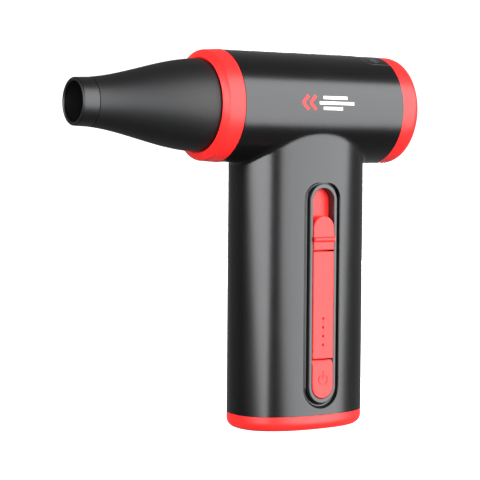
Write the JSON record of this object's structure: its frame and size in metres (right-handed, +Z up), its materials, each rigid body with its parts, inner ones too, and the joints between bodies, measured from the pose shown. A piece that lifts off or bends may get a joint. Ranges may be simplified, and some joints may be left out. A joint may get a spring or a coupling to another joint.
{
  "type": "car dryer blower",
  "caption": "Cordless handheld car dryer blower: round fan head with a tapered nozzle on an oval battery handle, with a speed slider and a power button.",
  "frame": {"origin": "centre of the base cap's underside", "axes": "+Z up along the handle, -X the way the air leaves, -Y the side with the controls"},
  "size_m": [0.1849, 0.056, 0.1893],
  "materials": {
    "black_abs": "satin moulded",
    "grey_black_abs": "satin moulded",
    "red_abs": "satin moulded",
    "white_abs": "moulded",
    "soft_black_rubber": "moulded",
    "steel_mesh": "woven wire",
    "steel": "turned and stamped",
    "silicon_steel": "stacked laminations",
    "nickel": "rolled strip",
    "aluminium": "machined",
    "copper": "enamelled wire",
    "magnet": "plated",
    "red_light_pipe": "clear red acrylic",
    "led_resin": "cast resin",
    "board_laminate": "solder mask",
    "smoked_window": "polished",
    "cell_wrap": "shrink wrapped",
    "lead_jacket": "silicone jacket",
    "epoxy_black": "moulded epoxy"
  },
  "bodies": {
    "body": {"front_ring": "red_abs", "control_side_shell": "black_abs", "plain_side_shell": "black_abs", "rear_ring": "red_abs", "intake_grille": "black_abs", "intake_filter": "steel_mesh", "base_cap": "red_abs", "control_bezel": "grey_black_abs", "slider_track": "red_abs", "slide_potentiometer": "steel", "indicator_strip": "red_abs", "light_pipes": "red_light_pipe", "indicator_leds": "led_resin", "power_switch": "steel", "control_board": "board_laminate", "board_screws": "steel", "display_window": "smoked_window", "display_board": "board_laminate", "display_module": "grey_black_abs", "charging_port": "steel", "charging_board": "board_laminate", "cell_1": "cell_wrap", "cell_2": "cell_wrap", "cell_3": "cell_wrap", "lower_cell_holder": "white_abs", "upper_cell_holder": "white_abs", "lower_cell_links": "nickel", "upper_cell_links": "nickel", "battery_leads": "lead_jacket", "motor_controller_board": "board_laminate", "power_transistors": "epoxy_black", "filter_capacitors": "epoxy_black", "heat_sink": "aluminium", "control_ribbon": "white_abs", "motor_leads": "lead_jacket", "fan_housing": "grey_black_abs", "front_fan_mount": "soft_black_rubber", "rear_fan_mount": "soft_black_rubber", "stator_core": "silicon_steel", "stator_windings": "copper", "front_bearing": "steel", "rear_bearing": "steel", "tail_cone": "grey_black_abs", "outlet_duct": "grey_black_abs", "shell_screws": "steel", "base_screws": "steel"},
    "nozzle_unit": {"nozzle": "black_abs", "nozzle_tip_sleeve": "soft_black_rubber", "nozzle_o_ring": "soft_black_rubber"},
    "slider_unit": {"speed_slider": "red_abs", "slider_lever": "steel"},
    "button_unit": {"power_button": "red_abs", "switch_plunger": "grey_black_abs"},
    "rotor_unit": {"impeller": "aluminium", "motor_shaft": "steel", "rotor_magnet": "magnet"}
  },
  "joints": [
    {"name": "nozzle_pull", "type": "slide", "parent": "body", "child": "nozzle_unit", "axis": [-1, 0, 0], "range_m": [0, 0.012]},
    {"name": "speed_slide", "type": "slide", "parent": "body", "child": "slider_unit", "axis": [0, 0, 1], "range_m": [0, 0.0125]},
    {"name": "power_press", "type": "slide", "parent": "body", "child": "button_unit", "axis": [0, 1, 0], "range_m": [0, 0.0008], "stiffness_N_per_m": 600},
    {"name": "rotor_spin", "type": "hinge", "parent": "body", "child": "rotor_unit", "pos_m": [0, 0, 0.1613], "axis": [-1, 0, 0], "continuous": true}
  ]
}
